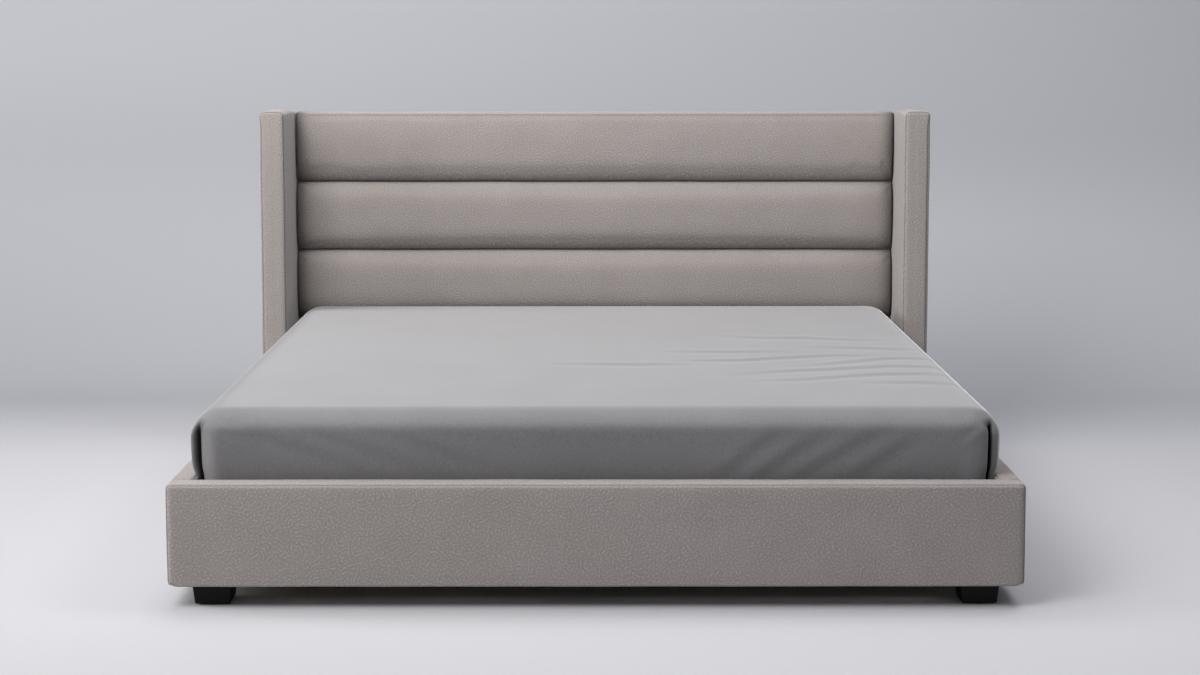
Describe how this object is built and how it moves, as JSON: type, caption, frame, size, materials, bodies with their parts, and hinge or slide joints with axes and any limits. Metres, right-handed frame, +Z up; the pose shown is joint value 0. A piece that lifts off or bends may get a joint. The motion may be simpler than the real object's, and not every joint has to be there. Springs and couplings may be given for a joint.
{
  "type": "upholstered bed",
  "caption": "Low upholstered bed with a winged headboard padded in wide horizontal channels, padded rails, block feet, slats and a mattress in a fitted sheet.",
  "frame": {"origin": "on the floor, under the middle of the whole bed", "axes": "+X to the right of someone who looks at the bed from its foot, +Y from the foot to the headboard, +Z up"},
  "size_m": [2.178, 2.259, 1.112],
  "materials": {
    "upholstery": "heathered taupe-grey felted weave",
    "sheet": "smooth grey cotton, slightly satin",
    "mattress": "white knitted ticking",
    "foam": "open cream foam",
    "lining": "plain taupe-grey weave",
    "plywood": "sanded birch plywood",
    "timber": "planed pine",
    "slat_wood": "planed pine, eased edges",
    "zinc_steel": "zinc plated",
    "bracket_steel": "black powder coat",
    "black_foot": "satin black",
    "felt": "pressed felt"
  },
  "bodies": {
    "frame": {"beam_hangers": "bracket_steel", "centre_beam": "timber", "centre_leg_front": "timber", "centre_leg_rear": "timber", "channel_pad_1": "upholstery", "channel_pad_2": "upholstery", "channel_pad_3": "upholstery", "channel_pad_4": "upholstery", "corner_block_front_left": "timber", "corner_block_front_right": "timber", "corner_block_rear_left": "timber", "corner_block_rear_right": "timber", "corner_brackets": "bracket_steel", "floor_glides": "felt", "foot_bolts": "zinc_steel", "foot_front_left": "black_foot", "foot_front_right": "black_foot", "foot_rail_board": "timber", "foot_rail_cover": "upholstery", "foot_rail_padding": "foam", "foot_rear_left": "black_foot", "foot_rear_right": "black_foot", "frame_bolts": "zinc_steel", "headboard_back_cover": "lining", "headboard_bottom_rail": "timber", "headboard_middle_rail": "timber", "headboard_plywood": "plywood", "headboard_post_left": "timber", "headboard_post_right": "timber", "headboard_top_rail": "timber", "side_rail_board_left": "timber", "side_rail_board_right": "timber", "side_rail_cover_left": "upholstery", "side_rail_cover_right": "upholstery", "side_rail_padding_left": "foam", "side_rail_padding_right": "foam", "slat_01": "slat_wood", "slat_02": "slat_wood", "slat_03": "slat_wood", "slat_04": "slat_wood", "slat_05": "slat_wood", "slat_06": "slat_wood", "slat_07": "slat_wood", "slat_08": "slat_wood", "slat_09": "slat_wood", "slat_10": "slat_wood", "slat_11": "slat_wood", "slat_12": "slat_wood", "slat_ledger_left": "timber", "slat_ledger_right": "timber", "slat_screws": "zinc_steel", "wing_bolts": "zinc_steel", "wing_core_left": "timber", "wing_core_right": "timber", "wing_cover_left": "upholstery", "wing_cover_right": "upholstery", "wing_padding_left": "foam", "wing_padding_right": "foam"},
    "mattress": {"mattress_core": "mattress", "fitted_sheet": "sheet"}
  },
  "joints": [
    {"name": "mattress_lift", "type": "slide", "parent": "frame", "child": "mattress", "axis": [0, 0, 1], "range_m": [0, 0.3]}
  ]
}
